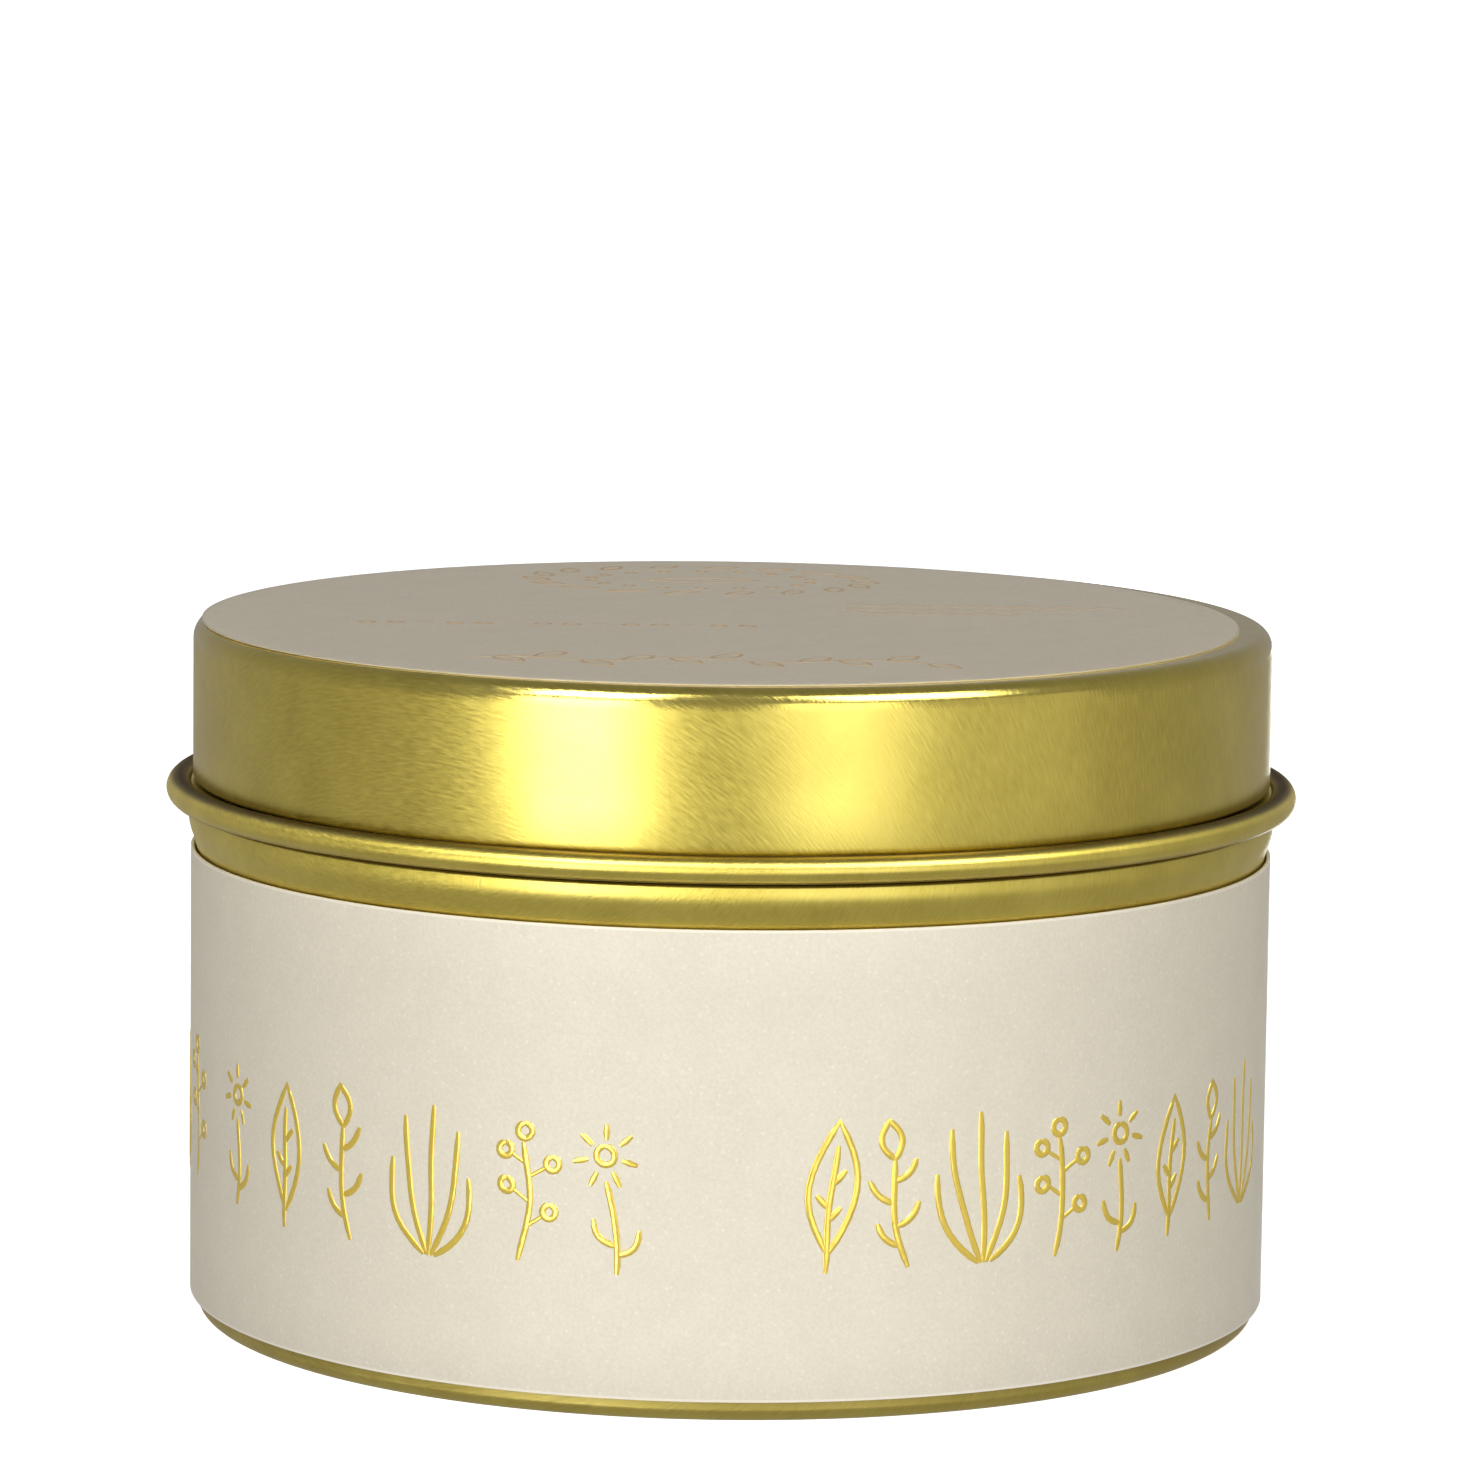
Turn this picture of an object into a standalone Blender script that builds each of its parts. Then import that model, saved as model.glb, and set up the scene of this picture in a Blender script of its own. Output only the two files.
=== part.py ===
"""Round slip-lid candle tin: a pressed gold tin with a paper wrap label, poured wax, a wick and a lift-off lid.

Metres, +Z up. The origin is the middle of the underside and -Y is the front of the labels.
Every radius and height below is in millimetres, and MM turns it into metres.
"""

import math

import bmesh
import bpy

MM = 0.001
FACETS = 48  # sides of every turned piece, all in step, so that nested rings stay clear of each other
GAP = 0.3  # left between faces that touch on the real tin
PLATE = 0.3  # tinplate, of the body and of the lid
PAPER = 0.25  # the wrap label
STICKER = 0.2  # the labels on the lid and under the base

# Tin body, outside sizes.
WALL_RADIUS = 38.1
BASE_CORNER = 0.9
BASE_PANEL_RADIUS = 31.0
BASE_PANEL_LIFT = 1.0
FOOT_INNER_RADIUS = 33.0
SHOULDER_RADIUS = 38.8
SHOULDER_HEIGHT = 35.9
CROWN_RADIUS = 0.9
CROWN_RISE = math.radians(25.0)
CROWN_FALL = math.radians(55.0)
BEAD_RADIUS = 40.4
BEAD_HEIGHT = 37.78
BEAD_ROUND = 0.95
BEAD_TURN_IN = math.radians(150.0)
NECK_RADIUS = 37.3
NECK_FILLET = 0.6
RIM_HEIGHT = 48.9
RIM_CURL = 0.75

# Lid, outside sizes.
LID_RADIUS = 38.5
LID_TOP = 49.5
LID_BOTTOM = 38.5
LID_CORNER = 1.4
HEM_HEIGHT = 3.0

# Labels.
WRAP_BOTTOM = 1.5
WRAP_TOP = 33.6
WRAP_SLIT = math.radians(0.6)
LID_LABEL_RADIUS = 37.0
LID_LABEL_SHIFT = -0.9
BASE_LABEL_RADIUS = 27.0

# Wax, wick and its foot.
WAX_TOP = 34.0
WAX_MENISCUS = 0.7
WICK_RADIUS = 1.1
WICK_PROUD = 6.0
FOOT_DISC_RADIUS = 10.0
FOOT_TUBE_HEIGHT = 5.6
PAD_RADIUS = 9.5
PAD_THICKNESS = 0.5

GOLD_LACQUER = ((0.55, 0.45, 0.16), 0.35, 1.0)
CREAM_PAPER = ((0.75, 0.69, 0.57), 0.55, 0.0)
WHITE_PAPER = ((0.85, 0.84, 0.80), 0.6, 0.0)
SOY_WAX = ((0.84, 0.78, 0.64), 0.45, 0.0)
COTTON = ((0.85, 0.82, 0.73), 0.9, 0.0)
BARE_TINPLATE = ((0.62, 0.62, 0.60), 0.35, 1.0)
ADHESIVE_FOAM = ((0.80, 0.80, 0.78), 0.8, 0.0)


def arc(radius, height, bend, start, end, steps):
    """Points along an arc of radius bend about (radius, height), with angles measured from +X."""
    turns = [start + (end - start) * step / steps for step in range(steps + 1)]
    return [(radius + bend * math.cos(turn), height + bend * math.sin(turn)) for turn in turns]


def finished(name, build, finish):
    """Turn a bmesh into a named object with its own material, shaded smooth but for its sharp edges."""
    bmesh.ops.recalc_face_normals(build, faces=build.faces)
    mesh = bpy.data.meshes.new(name)
    build.to_mesh(mesh)
    build.free()
    mesh.shade_smooth()
    mesh.set_sharp_from_angle(angle=math.radians(35.0))
    colour, roughness, metallic = finish
    material = bpy.data.materials.new(name)
    material.use_nodes = True
    shader = material.node_tree.nodes["Principled BSDF"]
    shader.inputs["Base Color"].default_value = (*colour, 1.0)
    shader.inputs["Roughness"].default_value = roughness
    shader.inputs["Metallic"].default_value = metallic
    mesh.materials.append(material)
    piece = bpy.data.objects.new(name, mesh)
    bpy.context.collection.objects.link(piece)
    return piece


def turned(name, outline, finish, closed=False):
    """Spin an outline of (radius, height) points once round an upright axis."""
    build = bmesh.new()
    points = [build.verts.new((radius * MM, 0.0, height * MM)) for radius, height in outline]
    pairs = list(zip(points, points[1:]))
    if closed:
        pairs.append((points[-1], points[0]))
    edges = [build.edges.new(pair) for pair in pairs]
    bmesh.ops.spin(
        build,
        geom=points + edges,
        cent=(0.0, 0.0, 0.0),
        axis=(0.0, 0.0, 1.0),
        angle=2.0 * math.pi,
        steps=FACETS,
        use_merge=True,
    )
    bmesh.ops.remove_doubles(build, verts=build.verts, dist=0.001 * MM)
    return finished(name, build, finish)


def pressed(name, outline, finish):
    """A turned skin, given the thickness of the plate on its inner side."""
    piece = turned(name, outline, finish)
    plate = piece.modifiers.new("plate", "SOLIDIFY")
    plate.thickness = PLATE * MM
    plate.offset = -1.0
    plate.use_even_offset = True
    return piece


def disc(name, radius, bottom, top, finish):
    """A flat round piece between two heights."""
    outline = [(0.0, bottom), (radius, bottom), (radius, top), (0.0, top)]
    return turned(name, outline, finish)


def tin_body():
    """Drawn tin: recessed base, wall, swaged shoulder, stop bead with a ledge inside it, and curled neck."""
    rise_from_wall = SHOULDER_RADIUS - CROWN_RADIUS * (1.0 - math.cos(CROWN_RISE)) - WALL_RADIUS
    sweep = rise_from_wall / (1.0 - math.cos(CROWN_RISE))
    sweep_height = SHOULDER_HEIGHT - (CROWN_RADIUS + sweep) * math.sin(CROWN_RISE)
    bead_centre = BEAD_RADIUS - BEAD_ROUND
    ledge = LID_BOTTOM - GAP
    outline = [
        (0.0, BASE_PANEL_LIFT),
        (BASE_PANEL_RADIUS, BASE_PANEL_LIFT),
        (FOOT_INNER_RADIUS, 0.0),
        *arc(WALL_RADIUS - BASE_CORNER, BASE_CORNER, BASE_CORNER, -math.pi / 2, 0.0, 3),
        *arc(WALL_RADIUS + sweep, sweep_height, sweep, math.pi, math.pi - CROWN_RISE, 3),
        *arc(SHOULDER_RADIUS - CROWN_RADIUS, SHOULDER_HEIGHT, CROWN_RADIUS, 0.0, CROWN_FALL, 2),
        *arc(bead_centre, BEAD_HEIGHT, BEAD_ROUND, -math.pi / 2, BEAD_TURN_IN, 8),
        *arc(NECK_RADIUS + NECK_FILLET, ledge + NECK_FILLET, NECK_FILLET, -math.pi / 2, -math.pi, 2),
        *arc(NECK_RADIUS - RIM_CURL, RIM_HEIGHT - RIM_CURL, RIM_CURL, 0.0, math.radians(240.0), 8),
    ]
    return pressed("tin_body", outline, GOLD_LACQUER)


def wrap_label():
    """Paper strip wrapped once round the wall, its two ends meeting at a slit at the back."""
    inner = WALL_RADIUS + GAP
    outer = inner + PAPER
    corners = [(inner, WRAP_BOTTOM), (outer, WRAP_BOTTOM), (outer, WRAP_TOP), (inner, WRAP_TOP)]
    back = math.pi / 2
    step = 2.0 * math.pi / FACETS
    turns = [back + WRAP_SLIT / 2]
    turns += [back + step * count for count in range(1, FACETS)]
    turns += [back + 2.0 * math.pi - WRAP_SLIT / 2]
    build = bmesh.new()
    sections = []
    for turn in turns:
        across, along = math.cos(turn) * MM, math.sin(turn) * MM
        sections.append([build.verts.new((r * across, r * along, z * MM)) for r, z in corners])
    for here, there in zip(sections, sections[1:]):
        for corner in range(len(corners)):
            build.faces.new((here[corner - 1], here[corner], there[corner], there[corner - 1]))
    build.faces.new(sections[0])
    build.faces.new(sections[-1])
    return finished("wrap_label", build, CREAM_PAPER)


def base_label():
    """Round sticker in the recess under the base."""
    top = BASE_PANEL_LIFT - GAP
    return disc("base_label", BASE_LABEL_RADIUS, top - STICKER, top, WHITE_PAPER)


def wick_parts(floor):
    """Sticky pad on the tin's floor, the pressed foot that stands on it, and the wick held in its tube."""
    pad_top = floor + GAP + PAD_THICKNESS
    disc("sustainer_sticker", PAD_RADIUS, floor + GAP, pad_top, ADHESIVE_FOAM)
    foot_bottom = pad_top + GAP
    foot_top = foot_bottom + PLATE
    bore = WICK_RADIUS + GAP
    tube_top = foot_top + FOOT_TUBE_HEIGHT
    foot = [
        (bore, foot_bottom),
        (FOOT_DISC_RADIUS, foot_bottom),
        (FOOT_DISC_RADIUS, foot_top),
        (bore + 2.0 * PLATE, foot_top),
        (bore + PLATE, foot_top + PLATE),
        (bore + PLATE, tube_top),
        (bore, tube_top),
    ]
    turned("wick_sustainer", foot, BARE_TINPLATE, closed=True)
    disc("wick", WICK_RADIUS, foot_bottom, WAX_TOP + WICK_PROUD, COTTON)
    return foot_top + GAP, tube_top + GAP


def wax_fill(floor, disc_clearance, tube_clearance):
    """Poured wax: it follows the floor and the wall, and leaves room for the foot, its tube and the wick."""
    side = WALL_RADIUS - PLATE - GAP
    moat = PLATE + GAP
    bore = WICK_RADIUS + GAP
    tube = bore + PLATE + GAP
    outline = [
        (FOOT_DISC_RADIUS + GAP, floor + GAP),
        (BASE_PANEL_RADIUS, floor + GAP),
        (FOOT_INNER_RADIUS, moat),
        *arc(side - BASE_CORNER + moat, BASE_CORNER, BASE_CORNER - moat, -math.pi / 2, 0.0, 2),
        (side, WAX_TOP + WAX_MENISCUS),
        (side - GAP, WAX_TOP + WAX_MENISCUS),
        (side - 2.0, WAX_TOP),
        (bore + 2.0, WAX_TOP),
        (bore, WAX_TOP + WAX_MENISCUS),
        (bore, tube_clearance),
        (tube, tube_clearance),
        (tube, disc_clearance + PLATE),
        (tube + PLATE, disc_clearance),
        (FOOT_DISC_RADIUS + GAP, disc_clearance),
    ]
    return turned("wax_fill", outline, SOY_WAX, closed=True)


def lid():
    """Slip lid: flat top, rounded corner, straight skirt and a hem turned inwards and up."""
    hem_round = PLATE + GAP / 2
    hem_centre = LID_RADIUS - hem_round
    outline = [
        (0.0, LID_TOP),
        *arc(LID_RADIUS - LID_CORNER, LID_TOP - LID_CORNER, LID_CORNER, math.pi / 2, 0.0, 4),
        *arc(hem_centre, LID_BOTTOM + hem_round, hem_round, 0.0, -math.pi, 4),
        (hem_centre - hem_round, LID_BOTTOM + HEM_HEIGHT),
    ]
    return pressed("lid", outline, GOLD_LACQUER)


def lid_label(cover):
    """Round paper label on the flat of the lid, stuck on a little off centre."""
    bottom = LID_TOP + GAP
    label = disc("lid_label", LID_LABEL_RADIUS, bottom, bottom + STICKER, CREAM_PAPER)
    label.parent = cover
    label.location.x = LID_LABEL_SHIFT * MM
    return label


for leftover in list(bpy.data.objects):
    bpy.data.objects.remove(leftover, do_unlink=True)

inside_floor = BASE_PANEL_LIFT + PLATE
tin_body()
wrap_label()
base_label()
clear_of_disc, clear_of_tube = wick_parts(inside_floor)
wax_fill(inside_floor, clear_of_disc, clear_of_tube)
lid_label(lid())
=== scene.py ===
import math
import random

import bpy
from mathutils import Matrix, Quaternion, Vector


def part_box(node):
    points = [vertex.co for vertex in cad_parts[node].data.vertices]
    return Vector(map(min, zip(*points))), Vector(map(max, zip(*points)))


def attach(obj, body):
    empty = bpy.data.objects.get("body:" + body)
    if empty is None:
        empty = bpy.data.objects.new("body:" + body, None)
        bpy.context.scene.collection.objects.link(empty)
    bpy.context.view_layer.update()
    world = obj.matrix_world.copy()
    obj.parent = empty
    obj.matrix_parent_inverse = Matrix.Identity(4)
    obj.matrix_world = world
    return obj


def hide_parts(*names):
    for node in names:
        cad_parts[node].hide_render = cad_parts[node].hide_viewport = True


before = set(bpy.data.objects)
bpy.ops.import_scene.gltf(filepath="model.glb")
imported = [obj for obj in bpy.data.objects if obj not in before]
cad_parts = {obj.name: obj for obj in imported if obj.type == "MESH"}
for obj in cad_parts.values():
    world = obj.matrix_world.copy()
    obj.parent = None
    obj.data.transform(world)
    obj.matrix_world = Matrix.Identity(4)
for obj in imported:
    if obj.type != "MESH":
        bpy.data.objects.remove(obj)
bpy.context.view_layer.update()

bpy.ops.object.select_all(action="DESELECT")


# --- Tin body --------------------------------------------------------------------------------
# One deep-drawn cup of tinplate, lacquered gold on the flat sheet and pressed afterwards. It
# stands on a narrow ring round a recessed base, a swaged shoulder and a rolled stop bead carry
# the lid, and the raw rim is curled inwards. All sizes are in millimetres, as on a drawing.
MM = 0.001
SIDES = 192
PLATE = 0.28
WALL_RADIUS = 38.1
NECK_RADIUS = 37.3
LEDGE_HEIGHT = 38.2
LEDGE_FILLET = 0.5
BEAD_ROUND = 0.95
BEAD_HEIGHT = 37.78
CREASE_RADIUS = 38.4
CREASE_HEIGHT = 36.76
CREASE_BEND = 0.07
SHOULDER_RADIUS = 38.78
SHOULDER_HEIGHT = 36.42
SHOULDER_NIP = 0.3
SHOULDER_SWEEP = 3.4
SHOULDER_TILT = 8
WALL_TILT = 22
BASE_CORNER = 0.9
RING_OUTER = 35.0
RING_INNER = 33.6
PANEL_RADIUS = 31.8
PANEL_HEIGHT = 1.0
PANEL_BEND = 0.4
CURL = 0.75
POLISH_START = 48.2
POLISH_FULL = 48.7
tin_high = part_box("tin_body")[1]
bead_radius = tin_high.x / MM
rim_height = tin_high.z / MM


def arc(radius, height, bend, start, end, steps):
    """Points of an arc of radius bend about (radius, height), its angles in degrees from +X."""
    turns = [math.radians(start + (end - start) * step / steps) for step in range(steps + 1)]
    return [(radius + bend * math.cos(turn), height + bend * math.sin(turn)) for turn in turns]


def draw_ring_by_ring(name, outline, sides=SIDES, closed=True):
    """Extrude a circle along an outline of (radius, height) points; closed fills in the last ring."""
    (radius, height), *further = outline
    bpy.ops.mesh.primitive_circle_add(vertices=sides, radius=radius * MM, location=(0, 0, height * MM))
    piece = bpy.context.object
    piece.name = name
    bpy.ops.object.mode_set(mode="EDIT")
    bpy.ops.mesh.select_all(action="SELECT")
    for next_radius, next_height in further:
        bpy.ops.mesh.extrude_region_move()
        stretch = next_radius / radius
        bpy.ops.transform.resize(value=(stretch, stretch, 1), center_override=(0, 0, 0))
        bpy.ops.transform.translate(value=(0, 0, (next_height - height) * MM))
        radius, height = next_radius, next_height
    if closed:
        bpy.ops.mesh.extrude_region_move()
        bpy.ops.mesh.merge(type="CENTER")
    bpy.ops.mesh.select_all(action="SELECT")
    bpy.ops.mesh.normals_make_consistent(inside=False)
    bpy.ops.object.mode_set(mode="OBJECT")
    bpy.ops.object.transform_apply(location=True, rotation=True, scale=True)
    return piece


def map_to_blank(piece, outline):
    """UV map, in metres, of where each point lay on the flat round blank before it was pressed."""
    travel = [0.0]
    for here, there in zip(outline[::-1], outline[-2::-1]):
        travel.append(travel[-1] + math.dist(here, there))
    travel = [outline[-1][0] + length for length in travel[::-1]] + [0.0]
    layer = piece.data.uv_layers.new(name="blank")
    for loop in piece.data.loops:
        place = piece.data.vertices[loop.vertex_index].co
        radius = math.hypot(place.x, place.y)
        reach = travel[loop.vertex_index // SIDES] * MM
        if radius > 0.0:
            layer.data[loop.index].uv = (place.x / radius * reach, place.y / radius * reach)


def apply_modifier(piece, kind, **settings):
    """Add a modifier with these settings and apply it."""
    modifier = piece.modifiers.new(kind.lower(), kind)
    for setting, value in settings.items():
        setattr(modifier, setting, value)
    bpy.context.view_layer.objects.active = piece
    bpy.ops.object.modifier_apply(modifier=modifier.name)


def press(name, outline):
    """A pressed sheet: the skin of the outline, thickened inwards, with a record of its blank."""
    piece = draw_ring_by_ring(name, outline)
    map_to_blank(piece, outline)
    apply_modifier(piece, "SOLIDIFY", thickness=PLATE * MM, offset=-1.0, use_even_offset=True)
    bpy.ops.object.shade_smooth_by_angle(angle=math.radians(40))
    return piece


def linear(colour):
    """An sRGB hex colour as the linear RGBA that shaders take."""
    channels = [int(colour[place:place + 2], 16) / 255 for place in (1, 3, 5)]
    return (*[c / 12.92 if c <= 0.04045 else ((c + 0.055) / 1.055) ** 2.4 for c in channels], 1.0)


def node(tree, kind, sockets, **settings):
    """Add a shader node, set its properties, and fill its sockets with values or with outputs."""
    made = tree.nodes.new("ShaderNode" + kind)
    for setting, value in settings.items():
        setattr(made, setting, value)
    for socket, value in sockets.items():
        if isinstance(value, bpy.types.NodeSocket):
            tree.links.new(value, made.inputs[socket])
        else:
            made.inputs[socket].default_value = value
    return made


def new_material(name):
    """An empty node material, its tree and its Principled shader."""
    material = bpy.data.materials.new(name)
    material.use_nodes = True
    return material, material.node_tree, material.node_tree.nodes["Principled BSDF"]


def lacquered_tinplate(name, roughness, drag_depth, spread, painted_shades):
    """Tinplate under a clear yellow lacquer: satin, with the sheet's rolling grain running across it.

    The draw lines are drag_depth metres deep, and spread is how far they smear a reflection. Each of
    the painted_shades is a height in millimetres and the share of colour, specular tint and coat kept
    there: painted shade where shadow falls, not a colour of the metal.
    """
    material, tree, shader = new_material(name)
    blank = node(tree, "UVMap", {}, uv_map="blank").outputs["UV"]
    grain_turn = math.radians(35.0)
    along = node(tree, "Mapping", {"Vector": blank, "Rotation": (0, 0, grain_turn)}).outputs[0]
    # Rolling grain: scratches 1 to 2 mm long and a sixth of a millimetre apart, drawn a little coarse.
    stretched = node(tree, "Mapping", {"Vector": along, "Scale": (850, 5600, 1)}).outputs[0]
    grain = node(tree, "TexNoise", {"Vector": stretched, "Scale": 1.0, "Detail": 3.0}).outputs["Fac"]
    # Draw lines: the die drags fine upright streaks down the metal, a fifth of a millimetre apart.
    place = node(tree, "TexCoord", {}).outputs["Object"]
    level = node(tree, "SeparateXYZ", {"Vector": place}).outputs["Z"]
    upright = node(tree, "Mapping", {"Vector": place, "Scale": (5200, 5200, 90)}).outputs[0]
    streaks = node(tree, "TexNoise", {"Vector": upright, "Scale": 1.0, "Detail": 2.0}).outputs["Fac"]
    # Handling marks: soft patches a few millimetres wide, where the lacquer is a little duller.
    patches = node(tree, "TexNoise", {"Vector": place, "Scale": 220.0, "Detail": 3.0}).outputs["Fac"]
    mottle = node(tree, "Math", {0: patches, 1: grain}, operation="ADD").outputs[0]
    tone = node(tree, "MapRange", {"Value": mottle, "From Min": 0.7, "From Max": 1.3}).outputs[0]
    colour = node(
        tree, "Mix", {"Factor": tone, "A": linear("#D9C555"), "B": linear("#EDDA67")}, data_type="RGBA"
    ).outputs["Result"]
    # Painted shade: the colour, specular tint and coat are darkened by height where shadow falls, at
    # the foot, beside the label's edges, under the bead, and where lid and bead meet.
    painted_shade = node(
        tree, "ValToRGB",
        {"Fac": node(tree, "MapRange", {"Value": level, "From Max": rim_height * MM}).outputs[0]},
    )
    stops = painted_shade.color_ramp.elements
    for height, shade in painted_shades:
        shade_colour = (shade, shade * (0.94 + 0.06 * shade), min(1.0, shade * (2.0 - shade)), 1)
        stops.new(height / rim_height).color = shade_colour
    stops.remove(stops[0])
    shaded_colour = node(
        tree, "Mix", {"Factor": 1.0, "A": colour, "B": painted_shade.outputs["Color"]},
        data_type="RGBA", blend_type="MULTIPLY",
    ).outputs["Result"]
    tree.links.new(shaded_colour, shader.inputs["Base Color"])
    # The same painted shade dims the specular tint and the coat.
    tree.links.new(painted_shade.outputs["Color"], shader.inputs["Specular Tint"])
    shaded_coat = node(tree, "Math", {0: painted_shade.outputs["Color"], 1: 0.5}, operation="MULTIPLY").outputs[0]
    tree.links.new(shaded_coat, shader.inputs["Coat Weight"])
    # The lid's corner and the rim are polished by the tools and by wear.
    polish = node(
        tree, "MapRange",
        {"Value": level, "From Min": POLISH_START * MM, "From Max": POLISH_FULL * MM, "To Max": -0.16},
    ).outputs[0]
    scuffed = roughness + 0.1
    scuff = node(
        tree, "MapRange",
        {"Value": grain, "From Min": 0.3, "From Max": 0.7, "To Min": roughness, "To Max": scuffed},
    ).outputs[0]
    dull = node(tree, "Math", {0: scuff, 1: polish}, operation="ADD").outputs[0]
    tree.links.new(dull, shader.inputs["Roughness"])
    drawn = node(tree, "Bump", {"Height": streaks, "Strength": 1.0, "Distance": drag_depth}).outputs[0]
    relief = node(
        tree, "Bump", {"Height": grain, "Normal": drawn, "Strength": 1.0, "Distance": 0.00001}
    ).outputs[0]
    tree.links.new(relief, shader.inputs["Normal"])
    # Draw lines too fine to see spread each reflection sideways.
    around = node(tree, "Tangent", {}, direction_type="RADIAL", axis="Z").outputs[0]
    tree.links.new(around, shader.inputs["Tangent"])
    shader.inputs["Anisotropic"].default_value = spread
    shader.inputs["Metallic"].default_value = 1.0
    shader.inputs["Coat Roughness"].default_value = 0.25
    shader.inputs["Coat IOR"].default_value = 1.6
    return material


def shoulder_bend(bend, start, end, steps):
    """An arc of the shoulder: every bend in it meets the others at the shoulder's widest point."""
    tilt = math.radians(SHOULDER_TILT)
    centre = SHOULDER_RADIUS - bend * math.cos(tilt), SHOULDER_HEIGHT - bend * math.sin(tilt)
    return arc(*centre, bend, start, end, steps)


tight_bend = shoulder_bend(SHOULDER_NIP, 80, SHOULDER_TILT, 7)
slow_bend = shoulder_bend(SHOULDER_SWEEP, SHOULDER_TILT, -WALL_TILT, 8)
slow_end, slow_end_height = slow_bend[-1]
sweep = (slow_end - WALL_RADIUS) / (1 - math.cos(math.radians(WALL_TILT)))
sweep_height = slow_end_height - sweep * math.sin(math.radians(WALL_TILT))
body_outline = [
    *arc(NECK_RADIUS - CURL, rim_height - CURL, CURL, 245, 0, 16),
    *[(NECK_RADIUS, height) for height in (45.0, 41.0)],
    *arc(NECK_RADIUS + LEDGE_FILLET, LEDGE_HEIGHT + LEDGE_FILLET, LEDGE_FILLET, 180, 270, 6),
    *arc(bead_radius - BEAD_ROUND, BEAD_HEIGHT, BEAD_ROUND, 150, -90, 20),
    *arc(CREASE_RADIUS, CREASE_HEIGHT, CREASE_BEND, 90, 250, 5),
    *tight_bend,
    *slow_bend[1:],
    *arc(WALL_RADIUS + sweep, sweep_height, sweep, 180 - WALL_TILT, 180, 6)[1:],
    *[(WALL_RADIUS, height) for height in (24.0, 12.0)],
    *arc(WALL_RADIUS - BASE_CORNER, BASE_CORNER, BASE_CORNER, 0, -90, 8),
    (RING_OUTER, 0.0),
    *arc(RING_INNER, PANEL_BEND, PANEL_BEND, 270, 220, 4),
    *arc(PANEL_RADIUS, PANEL_HEIGHT - PANEL_BEND, PANEL_BEND, 40, 90, 4),
    *[(radius, PANEL_HEIGHT) for radius in (24.0, 12.0, 4.0)],
]
# Painted shade by height, where shadow falls: darker at the foot, behind the label and in the
# crease, and darkest where the lid's hem stands.
body_painted_shades = (
    (0.1, 0.85), (0.9, 0.8), (1.3, 0.7), (1.5, 0.5), (33.5, 0.4), (34.0, 1.0),
    (36.56, 1.0), (36.66, 0.35), (36.98, 0.35), (37.1, 1.0),
    (38.35, 1.0), (38.5, 0.6), (38.6, 0.35), (38.66, 0.17), (38.8, 0.17), (38.9, 1.0),
)
tin_body = press("tin_body_shell", body_outline)
tin_body.data.materials.append(
    lacquered_tinplate("gold_lacquered_tinplate_body", 0.32, 0.000015, 0.7, body_painted_shades)
)
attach(tin_body, "tin")
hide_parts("tin_body")


# --- Lid -------------------------------------------------------------------------------------
# Slip lid drawn from the same lacquered sheet: flat top, a corner that tightens towards the top,
# a straight skirt, and a hem folded inwards and up so that no cut edge meets the fingers. The solid
# lid stands clear of its label, and the sheet comes up to meet it.
CORNER_SWEEP = 1.5
CORNER_NIP = 1.0
NIP_START = 33
TOP_RISE = 0.26
HEM = 0.31
HEM_DEPTH = 3.0
lid_low, lid_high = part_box("lid")
lid_radius = lid_high.x / MM
lid_top = lid_high.z / MM + TOP_RISE
lid_bottom = lid_low.z / MM
turn_over = math.radians(NIP_START)
nip_radius = lid_radius - CORNER_SWEEP + (CORNER_SWEEP - CORNER_NIP) * math.cos(turn_over)
sweep_bottom = lid_top - CORNER_NIP - (CORNER_SWEEP - CORNER_NIP) * math.sin(turn_over)
lid_outline = [
    (lid_radius - 2 * HEM, lid_bottom + HEM_DEPTH),
    *arc(lid_radius - HEM, lid_bottom + HEM, HEM, -180, 0, 10),
    (lid_radius, lid_bottom + 3.5),
    (lid_radius, lid_top - 4.0),
    *arc(lid_radius - CORNER_SWEEP, sweep_bottom, CORNER_SWEEP, 0, NIP_START, 6),
    *arc(nip_radius, lid_top - CORNER_NIP, CORNER_NIP, NIP_START, 90, 8)[1:],
    *[(radius, lid_top) for radius in (30.0, 18.0, 6.0)],
]
# Painted shade on the hem, darkest at its foot where it stands over the bead.
lid_painted_shades = ((38.4, 0.3), (38.58, 0.35), (38.68, 0.6), (38.8, 1.0))
lid = press("lid_shell", lid_outline)
lid.data.materials.append(
    lacquered_tinplate("gold_lacquered_tinplate_lid", 0.28, 0.000002, 0.0, lid_painted_shades)
)
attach(lid, "cover")
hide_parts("lid")


# --- Wrap label ------------------------------------------------------------------------------
# A strip of cream pearl paper, 0.25 mm thick, wrapped once round the wall with one end pasted
# over the other at the back. A paler band is painted along its die-cut edges: partly the paler
# core of the sheet, partly a painted highlight where the cut edge catches the light.
PAPER = 0.25
LAP = 6.0
LAP_SLOPE = 2.0
PASTE = 0.03
label_low, label_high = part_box("wrap_label")
paper_radius = label_high.x / MM - PAPER


def wrap_round(piece, radius):
    """Bend a flat piece that stands in the XZ plane round the tin, its middle to the front."""
    low = min(vertex.co.x for vertex in piece.data.vertices)
    high = max(vertex.co.x for vertex in piece.data.vertices)
    whole_turn = (high - low) / (radius * MM)
    apply_modifier(piece, "SIMPLE_DEFORM", deform_method="BEND", deform_axis="Z", angle=whole_turn)
    bpy.ops.object.mode_set(mode="EDIT")
    bpy.ops.mesh.select_all(action="SELECT")
    bpy.ops.transform.translate(value=(0, -radius * MM, 0))
    bpy.ops.object.mode_set(mode="OBJECT")


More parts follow.
